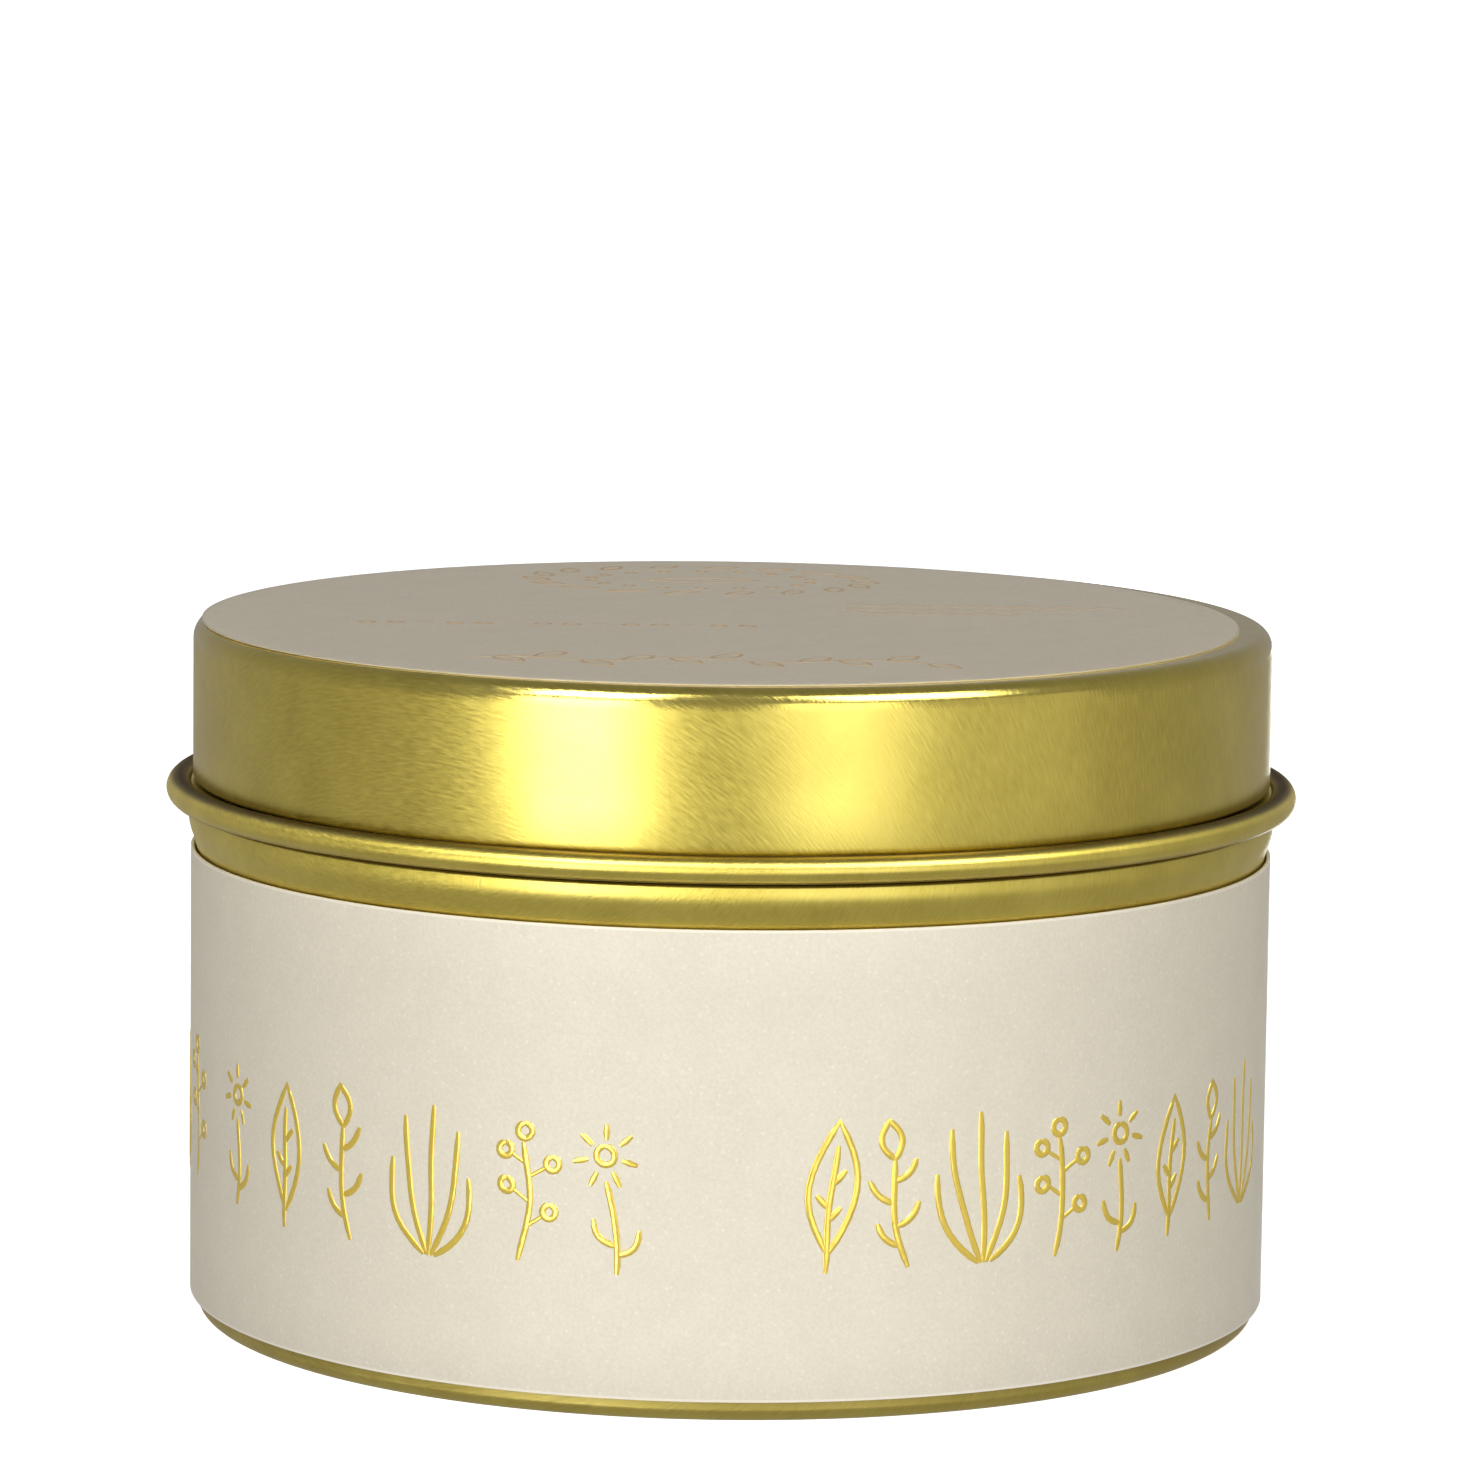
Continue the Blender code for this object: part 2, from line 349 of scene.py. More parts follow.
def pearl_paper(name, colour, edge_colour, edge_mask):
    """Coated pearl paper: a fine even tooth, with tiny flecks of mica barely paler than the sheet."""
    material, tree, shader = new_material(name)
    place = node(tree, "TexCoord", {}).outputs["Object"]
    # Tooth of the sheet, a quarter of a millimetre, drawn a little coarser than it is; pulp that
    # clouds over 3 mm; and flecks of mica 0.7 mm apart.
    tooth = node(tree, "TexNoise", {"Vector": place, "Scale": 4200.0, "Detail": 3.0}).outputs["Fac"]
    cloud = node(tree, "TexNoise", {"Vector": place, "Scale": 350.0, "Detail": 2.0}).outputs["Fac"]
    flecks = node(tree, "TexVoronoi", {"Vector": place, "Scale": 1400.0}).outputs["Distance"]
    glint = node(
        tree, "MapRange", {"Value": flecks, "From Min": 0.2, "From Max": 0.08, "To Max": 0.5},
        interpolation_type="SMOOTHSTEP",
    ).outputs[0]
    shade = node(
        tree, "MapRange",
        {"Value": tooth, "From Min": 0.25, "From Max": 0.75, "To Min": 0.94, "To Max": 1.04},
    ).outputs[0]
    drift = node(
        tree, "MapRange",
        {"Value": cloud, "From Min": 0.3, "From Max": 0.7, "To Min": 0.985, "To Max": 1.015},
    ).outputs[0]
    level = node(tree, "Math", {0: shade, 1: drift}, operation="MULTIPLY").outputs[0]
    sheet = node(
        tree, "VectorMath", {0: linear(colour)[:3], "Scale": level}, operation="SCALE"
    ).outputs["Vector"]
    flecked = node(
        tree, "Mix", {"Factor": glint, "A": sheet, "B": linear("#FFFAEE")}, data_type="RGBA"
    ).outputs["Result"]
    edged = node(
        tree, "Mix", {"Factor": edge_mask(tree, place), "A": flecked, "B": linear(edge_colour)},
        data_type="RGBA",
    ).outputs["Result"]
    tree.links.new(edged, shader.inputs["Base Color"])
    relief = node(tree, "Bump", {"Height": tooth, "Strength": 0.6, "Distance": 0.00002}).outputs[0]
    tree.links.new(relief, shader.inputs["Normal"])
    shader.inputs["Roughness"].default_value = 0.5
    shader.inputs["Specular IOR Level"].default_value = 0.35
    shader.inputs["Sheen Weight"].default_value = 0.1
    return material


def near_the_long_edges(tree, place):
    """1 within about 0.2 mm of the strip's top and bottom edges, and 0 over the rest of it."""
    height = node(tree, "SeparateXYZ", {"Vector": place}).outputs["Z"]
    middle = (label_low.z + label_high.z) / 2
    half = (label_high.z - label_low.z) / 2
    off_middle = node(tree, "Math", {0: height, 1: middle}, operation="SUBTRACT").outputs[0]
    distance = node(tree, "Math", {0: off_middle}, operation="ABSOLUTE").outputs[0]
    inner, outer = half - 0.22 * MM, half - 0.14 * MM
    return node(tree, "MapRange", {"Value": distance, "From Min": inner, "From Max": outer}).outputs[0]


strip_length = 2 * math.pi * paper_radius + LAP
strip_height = (label_high.z - label_low.z) / MM
upright = (math.pi / 2, 0, 0)
bpy.ops.mesh.primitive_grid_add(x_subdivisions=320, y_subdivisions=8, size=1, rotation=upright)
wrap = bpy.context.object
wrap.name = "wrap_label_paper"
wrap.scale = (strip_length * MM, strip_height * MM, 1)
wrap.location = (0, 0, (label_low.z + label_high.z) / 2)
bpy.ops.object.transform_apply(location=True, rotation=True, scale=True)
# The last stretch rises in a smooth step, to lie over the first by a thickness of paper and paste.
for vertex in wrap.data.vertices:
    past_start = vertex.co.x / MM - (strip_length / 2 - LAP - LAP_SLOPE)
    lift = min(max(past_start / LAP_SLOPE, 0.0), 1.0)
    vertex.co.y -= (PAPER + PASTE) * MM * lift * lift * (3 - 2 * lift)
apply_modifier(wrap, "SOLIDIFY", thickness=PAPER * MM, offset=1.0)
apply_modifier(wrap, "BEVEL", width=0.05 * MM, segments=2, limit_method="ANGLE")
wrap_round(wrap, paper_radius)
bpy.ops.object.shade_smooth_by_angle(angle=math.radians(40))
# The long edges are painted paler: partly the sheet's core, partly a painted highlight.
wrap.data.materials.append(pearl_paper("cream_pearl_paper", "#EFE8D4", "#FFF8E8", near_the_long_edges))
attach(wrap, "tin")
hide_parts("wrap_label")


# --- Foil drawing on the wrap label ----------------------------------------------------------
# A row of hand-drawn garden sprigs, hot-stamped in gold foil over raised varnish. Every line is
# about half a millimetre wide, stands a twentieth proud, and wavers a little, and its ends are
# drawn in. The sprigs follow each other round the front and both sides, with a gap in the middle.
FOIL_WIDTH = 0.48
FOIL_FLATTEN = 0.22
FOIL_FOOT = 10.4
LINE_END = 0.62
hand = random.Random(7)


def curve_line(start, end, bow, steps=10):
    """A line from start to end that bows sideways by the given amount in its middle."""
    (x0, z0), (x1, z1) = start, end
    length = math.dist(start, end)
    across = ((z0 - z1) / length, (x1 - x0) / length)
    shares = [step / steps for step in range(steps + 1)]
    return [
        (
            x0 + (x1 - x0) * share + across[0] * bow * math.sin(math.pi * share),
            z0 + (z1 - z0) * share + across[1] * bow * math.sin(math.pi * share),
        )
        for share in shares
    ]


def from_point(point, length, turn):
    """The point at a length and an angle, in degrees clockwise from straight up, from another point."""
    angle = math.radians(turn)
    return point[0] + length * math.sin(angle), point[1] + length * math.cos(angle)


def leaf(foot, length, turn, plump):
    """A leaf's closed outline: up one side and back down the other."""
    tip = from_point(foot, length, turn)
    return [curve_line(foot, tip, plump / 2) + curve_line(tip, foot, plump / 2)[1:]]


def ring(centre, radius):
    """A small hand-drawn circle."""
    return [[from_point(centre, radius, 360 * step / 14) for step in range(15)]]


def leafy_sprig(lean):
    """A bowed stem with leaves to either side and one at its tip."""
    stem = curve_line((0, 0), (lean, 7.6), 0.5)
    lines = [stem] + leaf(stem[-1], 2.8, 8 * lean, 1.5)
    for place, side in ((2, -1), (4, 1), (6, -1), (8, 1)):
        lines.append(curve_line(stem[place], from_point(stem[place], 2.4, side * 46), side * -0.35, 6))
    return lines


def daisy(lean):
    """A tall stem, two low leaves, and a ring with short petals round it."""
    head = (lean, 7.9)
    stem = curve_line((0, 0), (lean, 6.2), -0.4)
    lines = [stem] + ring(head, 0.62)
    for petal in range(7):
        turn = 360 * petal / 7
        lines.append([from_point(head, reach, turn) for reach in (1.15, 1.65, 2.2)])
    lines.append(curve_line(stem[2], from_point(stem[2], 2.4, 40), -0.5, 6))
    lines.append(curve_line(stem[3], from_point(stem[3], 2.4, -42), 0.5, 6))
    return lines


def broad_leaf(lean):
    """One large upright leaf with a midrib and side veins."""
    lines = leaf((0, 1.2), 8.8, 6 * lean, 3.2)
    tip = from_point((0, 1.2), 7.2, 6 * lean)
    midrib = curve_line((-0.1, 0), tip, 0.1)
    lines.append(midrib)
    for place, side in ((4, 1), (5, -1), (7, 1)):
        lines.append(curve_line(midrib[place], from_point(midrib[place], 1.3, side * 42), 0.0, 3))
    return lines


def berry_twig(lean):
    """A bowed twig with round berries on short stalks."""
    stem = curve_line((0, 0), (lean, 8.6), -0.6)
    lines = [stem] + ring((lean, 9.35), 0.55)
    for place, side in ((3, 1), (5, -1), (7, 1), (8, -1)):
        end = from_point(stem[place], 1.6, side * 58)
        lines.append([stem[place], end])
        lines += ring(from_point(end, 0.5, side * 58), 0.5)
    return lines


def grass_tuft(lean):
    """Five blades of grass from one foot."""
    return [
        curve_line((0.15 * turn / 10, 0), from_point((0, 0), length, turn + 4 * lean), -turn / 22)
        for turn, length in ((-26, 7.0), (-12, 9.4), (1, 10.2), (14, 8.8), (28, 6.2))
    ]


def round_line(points, radius, smoothness, end=1.0):
    """A capped round line through points in metres, its first and last point end times as thick."""
    bpy.ops.curve.primitive_nurbs_path_add(location=(0, 0, 0))
    line = bpy.context.object
    line.data.dimensions = "3D"
    line.data.splines.clear()
    spline = line.data.splines.new("POLY")
    spline.points.add(len(points) - 1)
    for point, place in zip(spline.points, points):
        point.co = (*place, 1)
    spline.points[0].radius = end
    spline.points[-1].radius = end
    line.data.bevel_depth = radius
    line.data.bevel_resolution = smoothness
    line.data.use_fill_caps = True
    return line


def join_lines(name, lines):
    """Join round lines into one mesh; the last of them, which is active, lends its thickness to all."""
    for line in lines:
        line.select_set(True)
    bpy.ops.object.join()
    bpy.ops.object.convert(target="MESH")
    piece = bpy.context.object
    piece.name = name
    return piece


def print_lines(name, lines, width, flatten):
    """Draw lines of (across, up) points upright, as one mesh, and press it down to a low relief."""
    placed = [[(across * MM, 0, up * MM) for across, up in points] for points in lines]
    piece = join_lines(name, [round_line(points, width / 2 * MM, 3, LINE_END) for points in placed])
    bpy.ops.object.mode_set(mode="EDIT")
    bpy.ops.mesh.select_all(action="SELECT")
    bpy.ops.transform.resize(value=(1, flatten, 1), center_override=(0, 0, 0))
    bpy.ops.mesh.normals_make_consistent(inside=False)
    bpy.ops.object.mode_set(mode="OBJECT")
    bpy.ops.object.shade_smooth()
    return piece


def stamped_foil():
    """Hot-stamped gold foil: a bright film whose tiny creases scatter as much light as they mirror."""
    material, tree, shader = new_material("stamped_gold_foil")
    place = node(tree, "TexCoord", {}).outputs["Object"]
    waves = node(tree, "TexNoise", {"Vector": place, "Scale": 1500.0, "Detail": 2.0}).outputs["Fac"]
    wear = node(
        tree, "MapRange",
        {"Value": waves, "From Min": 0.3, "From Max": 0.7, "To Min": 0.12, "To Max": 0.26},
    ).outputs[0]
    tree.links.new(wear, shader.inputs["Roughness"])
    relief = node(tree, "Bump", {"Height": waves, "Strength": 1.0, "Distance": 0.00003}).outputs[0]
    tree.links.new(relief, shader.inputs["Normal"])
    shader.inputs["Base Color"].default_value = linear("#F8DA62")
    shader.inputs["Metallic"].default_value = 0.5
    return material


motifs = (leafy_sprig, daisy, grass_tuft, broad_leaf, berry_twig)
azimuths = [
    *[-96, -86, -76],
    *[-62 + 10.2 * count for count in range(6)],
    *[10 + 8.4 * count for count in range(8)],
]
foil_lines = []
for count, azimuth in enumerate(azimuths):
    middle = math.radians(azimuth) * (paper_radius + PAPER)
    foot = FOIL_FOOT + hand.uniform(-0.5, 0.5)
    size = hand.uniform(0.94, 1.05)
    for points in motifs[(count * 2) % len(motifs)](hand.uniform(-1.0, 1.0)):
        phase = hand.uniform(0, 6)
        foil_lines.append([
            (
                middle + across * size + 0.07 * math.sin(phase + 0.9 * up),
                foot + up * size + 0.05 * math.sin(phase + 1.3 * across),
            )
            for across, up in points
        ])
foil = print_lines("wrap_label_foil", foil_lines, FOIL_WIDTH, FOIL_FLATTEN)
wrap_round(foil, paper_radius + PAPER)
foil.data.materials.append(stamped_foil())
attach(foil, "tin")


# --- Lid label -------------------------------------------------------------------------------
# A die-cut round of the same pearl paper, stuck flat on the lid a little off its middle. Its cut
# edge catches the light and shows as a thin bright line. The rim is painted darker than the face,
# a painted shade that tones that line down.
LID_LABEL_PAPER = 0.12
GLUE = 0.01
lid_label_low, lid_label_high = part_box("lid_label")
lid_label_radius = (lid_label_high.x - lid_label_low.x) / 2 / MM
lid_label_middle = (lid_label_high.x + lid_label_low.x) / 2 / MM
lid_label_bottom = lid_top + GLUE


def cut_disc(name, radius, middle, low, high, rounding):
    """A flat round piece with softened edges, drawn as a disc and extruded from low to high."""
    bpy.ops.mesh.primitive_circle_add(
        vertices=SIDES, radius=radius * MM, fill_type="NGON", location=(middle * MM, 0, low * MM)
    )
    piece = bpy.context.object
    piece.name = name
    bpy.ops.object.mode_set(mode="EDIT")
    bpy.ops.mesh.select_all(action="SELECT")
    bpy.ops.mesh.extrude_region_move(TRANSFORM_OT_translate={"value": (0, 0, (high - low) * MM)})
    bpy.ops.mesh.inset(thickness=1.0 * MM)
    bpy.ops.mesh.select_all(action="SELECT")
    bpy.ops.mesh.normals_make_consistent(inside=False)
    bpy.ops.object.mode_set(mode="OBJECT")
    bpy.ops.object.transform_apply(location=True, rotation=True, scale=True)
    apply_modifier(piece, "BEVEL", width=rounding * MM, segments=2, limit_method="ANGLE")
    bpy.ops.object.shade_smooth_by_angle(angle=math.radians(40))
    return piece


def near_the_rim(tree, place):
    """1 on the cut edge of the round label, and 0 on its face."""
    middle = (lid_label_middle * MM, 0, 0)
    offset = node(tree, "VectorMath", {0: place, 1: middle}, operation="SUBTRACT").outputs["Vector"]
    flat = node(tree, "VectorMath", {0: offset, 1: (1, 1, 0)}, operation="MULTIPLY").outputs["Vector"]
    reach = node(tree, "VectorMath", {0: flat}, operation="LENGTH").outputs["Value"]
    rim = lid_label_radius * MM
    inner, outer = rim - 0.16 * MM, rim - 0.06 * MM
    return node(tree, "MapRange", {"Value": reach, "From Min": inner, "From Max": outer}).outputs[0]


lid_label = cut_disc(
    "lid_label_paper", lid_label_radius, lid_label_middle,
    lid_label_bottom, lid_label_bottom + LID_LABEL_PAPER, 0.04,
)
# The darker rim colour is painted shade on the lit cut edge.
lid_label.data.materials.append(
    pearl_paper("cream_pearl_paper_lid", "#E9DDC3", "#D2C8B0", near_the_rim)
)
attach(lid_label, "cover")
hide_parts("lid_label")


# --- Print on the lid label ------------------------------------------------------------------
# Fine copper ink, screen-printed and barely raised: a leaf wreath towards the back, a chain of
# beads across the middle, a small patch of ripples to the right, and a garland along the front.
INK_WIDTH = 0.34
INK_FLATTEN = 0.15


def wreath(centre, half_width, half_depth, leaves):
    """An oval of small leaves that all lean the same way round, with an oval of beads inside it."""
    lines = []
    for count in range(leaves):
        turn = 2 * math.pi * count / leaves
        right, back = half_width * math.sin(turn), half_depth * math.cos(turn)
        lines += leaf((centre[0] + right, centre[1] + back), 3.1, math.degrees(turn) + 62, 1.3)
        lines += ring((centre[0] + 0.72 * right, centre[1] + 0.72 * back), 0.4)
    return lines


def bead_chain(start, end, beads):
    """A row of small rings and dashes by turns."""
    lines = []
    for count in range(beads):
        share = count / (beads - 1)
        right, back = start[0] + (end[0] - start[0]) * share, start[1] + (end[1] - start[1]) * share
        if count % 3 == 2:
            lines.append([(right - 0.7, back), (right, back + 0.5), (right + 0.7, back)])
        else:
            lines += ring((right, back), 0.55)
    return lines


def ripples(corner, width, rows):
    """Rows of gentle waves, each a little shorter than the one before."""
    lines = []
    for row in range(rows):
        steps = 48 - 9 * row
        lines.append([
            (corner[0] + width * step / 48, corner[1] - 2.4 * row + 0.55 * math.sin(step * 0.9))
            for step in range(steps)
        ])
    return lines


def garland(start, length, leaves):
    """A waving stem with a leaf on each crest and in each hollow."""
    stem = [
        (start[0] + length * step / 60, start[1] + 1.0 * math.sin(math.pi * leaves / 2 * step / 60))
        for step in range(61)
    ]
    lines = [stem]
    for count in range(leaves):
        foot = stem[round(60 * (count + 0.5) / leaves)]
        lines += leaf(foot, 3.4, 38 if count % 2 else 142, 1.5)
    return lines


ink_lines = (
    wreath((-2.5, 24.0), 11.5, 7.6, 18)
    + leaf((-6.8, 24.0), 8.6, 90, 3.2)
    + bead_chain((-26.0, -4.5), (1.0, -4.5), 14)
    + ripples((8.0, 9.0), 21.0, 3)
    + garland((-18.0, -24.0), 33.0, 11)
)
ink = print_lines("lid_label_print", ink_lines, INK_WIDTH, INK_FLATTEN)
ink.rotation_euler = (-math.pi / 2, 0, 0)
ink.location = (0, 0, (lid_label_bottom + LID_LABEL_PAPER) * MM)
bpy.ops.object.transform_apply(location=True, rotation=True, scale=True)


def copper_ink():
    """Metallic copper ink on paper: more matt than foil, and thin enough to let some paper through."""
    material, tree, shader = new_material("copper_ink")
    place = node(tree, "TexCoord", {}).outputs["Object"]
    coverage = node(tree, "TexNoise", {"Vector": place, "Scale": 2600.0, "Detail": 2.0}).outputs["Fac"]
    share = node(tree, "MapRange", {"Value": coverage, "From Min": 0.4, "From Max": 0.6}).outputs[0]
    colour = node(
        tree, "Mix", {"Factor": share, "A": linear("#E0BA88"), "B": linear("#DECAA2")}, data_type="RGBA"
    ).outputs["Result"]
    tree.links.new(colour, shader.inputs["Base Color"])
    shader.inputs["Metallic"].default_value = 0.3
    shader.inputs["Roughness"].default_value = 0.5
    return material


ink.data.materials.append(copper_ink())
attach(ink, "cover")


# --- Wick foot, its pad and the wick ---------------------------------------------------------
# The wick stands in a pressed tinplate foot, a flat disc with a rib and a tube, which a foam pad
# sticks to the floor of the tin. The wick itself is a braid of eight waxed cotton yarns round a
# straight core, trimmed square.
pad_low, pad_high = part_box("sustainer_sticker")
pad = cut_disc("foam_pad", pad_high.x / MM, 0, pad_low.z / MM, pad_high.z / MM, 0.1)


def adhesive_foam():
    """Double-sided foam pad: matt, off-white, with open cells about a third of a millimetre wide."""
    material, tree, shader = new_material("adhesive_foam")
    place = node(tree, "TexCoord", {}).outputs["Object"]
    cells = node(tree, "TexVoronoi", {"Vector": place, "Scale": 3000.0}).outputs["Distance"]
    relief = node(tree, "Bump", {"Height": cells, "Strength": 0.8, "Distance": 0.0001}).outputs[0]
    tree.links.new(relief, shader.inputs["Normal"])
    shader.inputs["Base Color"].default_value = linear("#E4E3DE")
    shader.inputs["Roughness"].default_value = 0.85
    return material


pad.data.materials.append(adhesive_foam())
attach(pad, "tin")
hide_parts("sustainer_sticker")

FOOT_PLATE = 0.25
TUBE_CLEARANCE = 0.25
TUBE_FILLET = 0.8
RIB_INNER = 6.4
RIB_OUTER = 6.8
RIB_HEIGHT = 0.3
foot_low, foot_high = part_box("wick_sustainer")
wick_low, wick_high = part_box("wick")
wick_radius = wick_high.x / MM
tube_radius = wick_radius + TUBE_CLEARANCE + FOOT_PLATE
disc_top = foot_low.z / MM + FOOT_PLATE
foot_outline = [
    (tube_radius, foot_high.z / MM),
    (tube_radius, disc_top + 1.15),
    *arc(tube_radius + TUBE_FILLET, disc_top + TUBE_FILLET, TUBE_FILLET, 180, 270, 5),
    (5.5, disc_top),
    *arc(RIB_INNER, disc_top, RIB_HEIGHT, 180, 90, 3),
    *arc(RIB_OUTER, disc_top, RIB_HEIGHT, 90, 0, 3),
    (foot_high.x / MM, disc_top),
]
foot = draw_ring_by_ring("wick_foot", foot_outline, sides=64, closed=False)
apply_modifier(foot, "SOLIDIFY", thickness=FOOT_PLATE * MM, offset=-1.0, use_even_offset=True)
bpy.ops.object.shade_smooth_by_angle(angle=math.radians(40))


def bare_tinplate():
    """Bright tinplate, stamped from strip: fine parallel roll lines, and no lacquer."""
    material, tree, shader = new_material("bare_tinplate")
    place = node(tree, "TexCoord", {}).outputs["Object"]
    stretched = node(tree, "Mapping", {"Vector": place, "Scale": (500, 6000, 500)}).outputs[0]
    lines = node(tree, "TexNoise", {"Vector": stretched, "Scale": 1.0, "Detail": 2.0}).outputs["Fac"]
    relief = node(tree, "Bump", {"Height": lines, "Strength": 1.0, "Distance": 0.000004}).outputs[0]
    tree.links.new(relief, shader.inputs["Normal"])
    shader.inputs["Base Color"].default_value = linear("#D3D2CD")
    shader.inputs["Metallic"].default_value = 1.0
    shader.inputs["Roughness"].default_value = 0.3
    return material


foot.data.materials.append(bare_tinplate())
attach(foot, "tin")
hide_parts("wick_sustainer")

YARN_RADIUS = 0.33
CORE_RADIUS = 0.5
CORE_SHORT = 0.3
BRAID_PITCH = 9.0
WEAVE_DEPTH = 0.08
WEAVE_INSET = 0.1
TIP_START = 0.985
TIP_SPREAD = 0.12
wick_length = (wick_high.z - wick_low.z) / MM


def yarn(way, start_turn):
    """One yarn of the braid, winding one way over and under those that wind the other way."""
    steps = 160
    points = []
    for step in range(steps + 1):
        rise = step / steps
        turn = 2 * math.pi * wick_length / BRAID_PITCH * rise
        weave = way * math.cos(4 * turn + 2 * start_turn * way)
        reach = wick_radius - YARN_RADIUS - WEAVE_INSET + WEAVE_DEPTH * weave
        around = way * turn + start_turn
        spread = 1.0 + TIP_SPREAD * max(0.0, rise - TIP_START) / (1.0 - TIP_START)
        points.append((
            reach * spread * math.cos(around) * MM,
            reach * spread * math.sin(around) * MM,
            wick_low.z + wick_length * rise * MM,
        ))
    return round_line(points, YARN_RADIUS * MM, 2)


yarns = [yarn(way, math.radians(90 * count)) for way in (-1, 1) for count in range(4)]
core_points = [(0, 0, wick_low.z), (0, 0, wick_high.z - CORE_SHORT * MM)]
core = round_line(core_points, YARN_RADIUS * MM, 2, CORE_RADIUS / YARN_RADIUS)
wick = join_lines("braided_wick", [*yarns, core])
bpy.ops.object.mode_set(mode="EDIT")
bpy.ops.mesh.select_all(action="SELECT")
bpy.ops.mesh.normals_make_consistent(inside=False)
bpy.ops.object.mode_set(mode="OBJECT")
bpy.ops.object.shade_smooth()


def waxed_cotton():
    """Bleached cotton yarn primed with wax: soft, slightly translucent, with fine twisted fibres."""
    material, tree, shader = new_material("waxed_cotton")
    place = node(tree, "TexCoord", {}).outputs["Object"]
    fibres = node(tree, "TexNoise", {"Vector": place, "Scale": 9000.0, "Detail": 3.0}).outputs["Fac"]
    colour = node(
        tree, "Mix", {"Factor": fibres, "A": linear("#D8CFB8"), "B": linear("#F5F0E2")},
        data_type="RGBA",
    ).outputs["Result"]
    tree.links.new(colour, shader.inputs["Base Color"])
    relief = node(tree, "Bump", {"Height": fibres, "Strength": 0.7, "Distance": 0.00005}).outputs[0]
    tree.links.new(relief, shader.inputs["Normal"])
    shader.inputs["Roughness"].default_value = 0.7
    shader.inputs["Subsurface Weight"].default_value = 0.2
    shader.inputs["Subsurface Radius"].default_value = (0.001, 0.0008, 0.0006)
    return material


wick.data.materials.append(waxed_cotton())
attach(wick, "tin")
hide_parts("wick")


# --- Wax -------------------------------------------------------------------------------------
# Ivory soy wax poured to just below the stop bead. It crept up the wall and the wick as it set,
# sank a little between them, and has the faint frosting that soy wax shows.
WAX_CLEARANCE = 0.1
WAX_FLOOR = 1.6
WAX_CORNER = 1.0
WALL_CREEP = 1.5
CREEP_LIP = 0.1
wax_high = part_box("wax_fill")[1]
wax_radius = WALL_RADIUS - PLATE - WAX_CLEARANCE
wax_edge = wax_high.z / MM
# How far the surface has sunk below its edge at each radius, from the wall in to the wick.
sunk = (
    (32.0, 1.5), (26.0, 1.65), (20.0, 1.75), (14.0, 1.7), (9.0, 1.6), (6.0, 1.45),
    (4.2, 1.2), (3.0, 0.9), (2.1, 0.5), (1.5, 0.1), (0.8, 0.0),
)
wax_outline = [
    (2.0, WAX_FLOOR),
    (30.5, WAX_FLOOR),
    (33.2, 0.65),
    *arc(wax_radius - WAX_CORNER, WAX_FLOOR, WAX_CORNER, -90, 0, 5),
    (wax_radius, 20.0),
    (wax_radius, wax_edge),
    *arc(wax_radius - WALL_CREEP - CREEP_LIP, wax_edge + CREEP_LIP, WALL_CREEP, -5, -90, 8),
    *[(radius, wax_edge - depth) for radius, depth in sunk],
]
wax = draw_ring_by_ring("poured_wax", wax_outline)
bpy.ops.object.mode_set(mode="EDIT")
bpy.ops.mesh.select_all(action="DESELECT")
bpy.ops.mesh.select_non_manifold()
bpy.ops.mesh.edge_face_add()
bpy.ops.mesh.select_all(action="SELECT")
bpy.ops.mesh.normals_make_consistent(inside=False)
bpy.ops.object.mode_set(mode="OBJECT")
bpy.ops.object.shade_smooth_by_angle(angle=math.radians(50))


def soy_wax():
    """Soy wax: slightly translucent, with pale frosting in soft crystals a few millimetres wide."""
    material, tree, shader = new_material("soy_wax")
    place = node(tree, "TexCoord", {}).outputs["Object"]
    frost = node(
        tree, "TexNoise", {"Vector": place, "Scale": 260.0, "Detail": 6.0, "Roughness": 0.65}
    ).outputs["Fac"]
    grains = node(tree, "TexNoise", {"Vector": place, "Scale": 2500.0, "Detail": 2.0}).outputs["Fac"]
    share = node(tree, "MapRange", {"Value": frost, "From Min": 0.42, "From Max": 0.68}).outputs[0]
    colour = node(
        tree, "Mix", {"Factor": share, "A": linear("#F4EDD9"), "B": linear("#F9F5E8")}, data_type="RGBA"
    ).outputs["Result"]
    tree.links.new(colour, shader.inputs["Base Color"])
    dull = node(tree, "MapRange", {"Value": frost, "To Min": 0.3, "To Max": 0.6}).outputs[0]
    tree.links.new(dull, shader.inputs["Roughness"])
    swell = node(tree, "Bump", {"Height": frost, "Strength": 0.5, "Distance": 0.0003}).outputs[0]
    relief = node(
        tree, "Bump", {"Height": grains, "Normal": swell, "Strength": 0.3, "Distance": 0.00003}
    ).outputs[0]
    tree.links.new(relief, shader.inputs["Normal"])
    shader.inputs["Subsurface Weight"].default_value = 0.35
    shader.inputs["Subsurface Radius"].default_value = (0.004, 0.003, 0.002)
    return material


wax.data.materials.append(soy_wax())
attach(wax, "tin")
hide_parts("wax_fill")


# --- Base label ------------------------------------------------------------------------------
# A blank white sticker in the recess under the base, where it clears the shelf. The solid label
# hangs clear of the tin, and the paper comes up to meet the panel.
BASE_LABEL_RISE = 0.25
BASE_LABEL_SWELL = 0.03
base_low, base_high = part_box("base_label")
base_label_bottom = base_low.z / MM + BASE_LABEL_RISE
base_label_top = base_high.z / MM + BASE_LABEL_RISE + BASE_LABEL_SWELL
base_label = cut_disc("base_label_paper", base_high.x / MM, 0, base_label_bottom, base_label_top, 0.04)


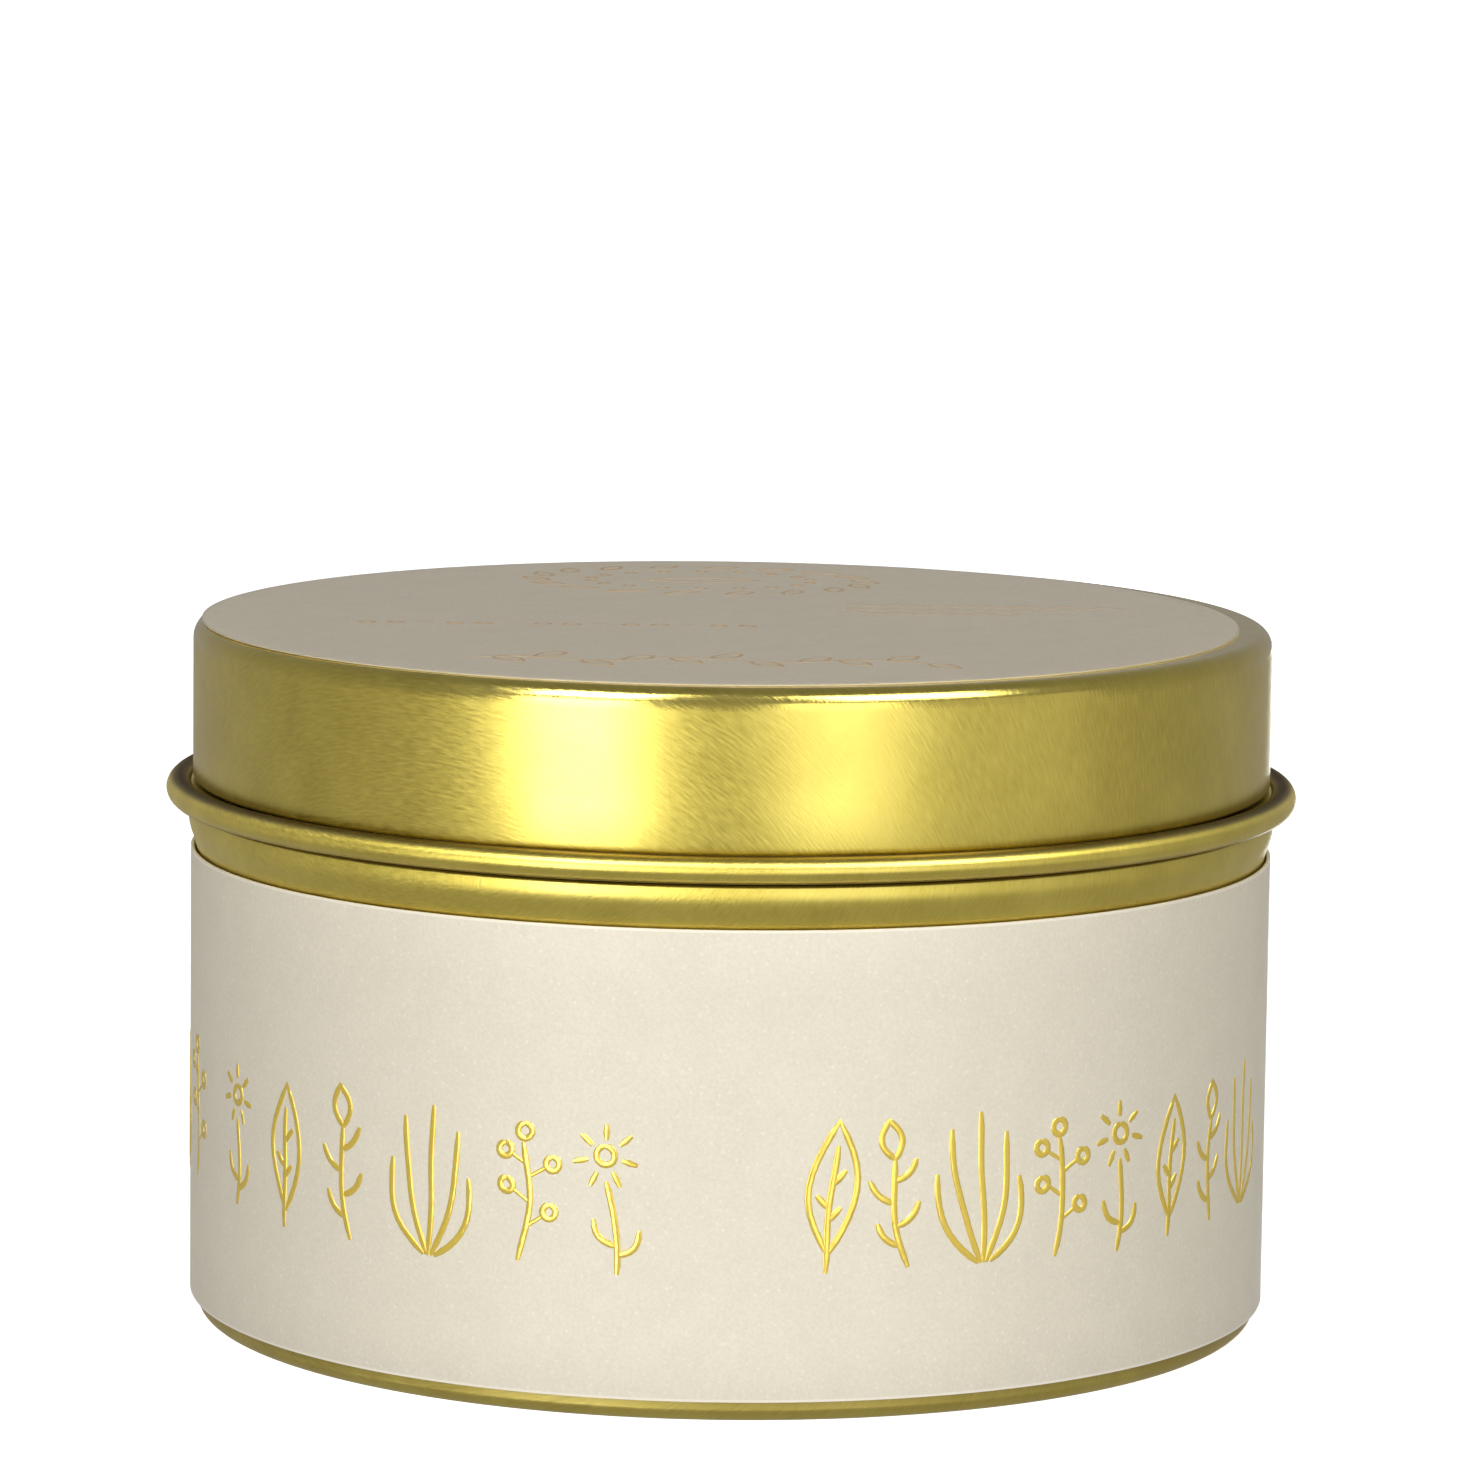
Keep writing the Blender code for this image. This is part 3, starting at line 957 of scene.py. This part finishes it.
def uncoated_paper():
    """Plain white sticker paper with a fine tooth."""
    material, tree, shader = new_material("uncoated_white_paper")
    place = node(tree, "TexCoord", {}).outputs["Object"]
    tooth = node(tree, "TexNoise", {"Vector": place, "Scale": 3500.0, "Detail": 3.0}).outputs["Fac"]
    colour = node(
        tree, "Mix", {"Factor": tooth, "A": linear("#E6E4DC"), "B": linear("#F3F2EC")}, data_type="RGBA"
    ).outputs["Result"]
    tree.links.new(colour, shader.inputs["Base Color"])
    relief = node(tree, "Bump", {"Height": tooth, "Strength": 0.5, "Distance": 0.00002}).outputs[0]
    tree.links.new(relief, shader.inputs["Normal"])
    shader.inputs["Roughness"].default_value = 0.75
    return material


base_label.data.materials.append(uncoated_paper())
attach(base_label, "tin")
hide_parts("base_label")


# --- Stage -----------------------------------------------------------------------------------
# White floor, soft boxes to the left and right of the front and low at the back, a pale room, and
# the camera.
LAMP_DISTANCE = 1.6
LAMP_AIM = 0.03
bpy.ops.mesh.primitive_plane_add(size=40, location=(0, 0, 0))
floor = bpy.context.object
floor.name = "floor"
paint, _, shader = new_material("white_floor")
shader.inputs["Base Color"].default_value = (0.8, 0.8, 0.8, 1)
shader.inputs["Roughness"].default_value = 0.9
shader.inputs["Emission Color"].default_value = (1, 1, 1, 1)
shader.inputs["Emission Strength"].default_value = 1.0
floor.data.materials.append(paint)
floor.visible_glossy = False
floor.visible_diffuse = False
floor.visible_shadow = False


def soft_box(name, azimuth, elevation, width, height, power, lights_metal):
    """A rectangular light facing the tin from an azimuth (0 in front, positive to the right).

    Polished and matt surfaces are lit apart: it shows only in metal, or falls only on paper and wax.
    """
    bpy.ops.object.light_add(type="AREA")
    lamp = bpy.context.object
    lamp.name = name
    lamp.data.shape = "RECTANGLE"
    lamp.data.size = width
    lamp.data.size_y = height
    lamp.data.energy = power
    turn, rise = math.radians(azimuth), math.radians(elevation)
    away = Vector((math.sin(turn) * math.cos(rise), -math.cos(turn) * math.cos(rise), math.sin(rise)))
    lamp.location = Vector((0, 0, LAMP_AIM)) + away * LAMP_DISTANCE
    lamp.rotation_mode = "QUATERNION"
    lamp.rotation_quaternion = away.to_track_quat("Z", "Y")
    lamp.visible_camera = False
    lamp.visible_glossy = lights_metal
    lamp.visible_diffuse = not lights_metal


soft_box("key_box", -34, 18, 0.6, 1.1, 9.8, False)
soft_box("fill_box", 24, 18, 0.6, 1.1, 11.5, False)
soft_box("key_glow_low", -31.5, 1, 0.65, 1.0, 10.5, True)
soft_box("key_glow_high", -33, 42, 0.6, 0.75, 15, True)
soft_box("fill_glow_low", 22.5, 1, 0.7, 1.0, 4.1, True)
soft_box("fill_glow_high", 42, 42, 0.9, 0.75, 16, True)
soft_box("side_glow", 60, 0, 1.2, 1.0, 0.9, True)
soft_box("back_box", 180, -8, 1.1, 0.5, 12, False)
soft_box("back_glow", 174, -13, 0.5, 0.45, 2.5, True)

world = bpy.data.worlds.new("studio")
bpy.context.scene.world = world
world.use_nodes = True
sky = world.node_tree
background = sky.nodes["Background"]
direction = node(sky, "TexCoord", {}).outputs["Generated"]
height = node(sky, "SeparateXYZ", {"Vector": direction}).outputs["Z"]
share = node(sky, "MapRange", {"Value": height, "From Min": -1.0}).outputs[0]
ramp = node(sky, "ValToRGB", {"Fac": share})
ramp.color_ramp.elements[0].color = (0.40, 0.39, 0.37, 1)
ramp.color_ramp.elements[1].color = (0.2, 0.2, 0.2, 1)
ramp.color_ramp.elements.new(0.5).color = (0.31, 0.295, 0.285, 1)
sky.links.new(ramp.outputs["Color"], background.inputs["Color"])
background.inputs["Strength"].default_value = 1.0

camera_data = bpy.data.cameras.new("camera")
camera = bpy.data.objects.new("camera", camera_data)
bpy.context.scene.collection.objects.link(camera)
bpy.context.scene.camera = camera
camera_data.sensor_width = 36
camera_data.lens = 176.1
camera_data.clip_start = 0.01
camera.location = (0, -0.515, 0.1113)
pitch, yaw, roll = math.radians(7.766), math.radians(0.076), math.radians(0.7)
look = Vector((math.sin(yaw) * math.cos(pitch), math.cos(yaw) * math.cos(pitch), -math.sin(pitch)))
camera.rotation_mode = "QUATERNION"
camera.rotation_quaternion = look.to_track_quat("-Z", "Y") @ Quaternion((0, 0, 1), roll)
bpy.context.scene.view_settings.view_transform = "Standard"
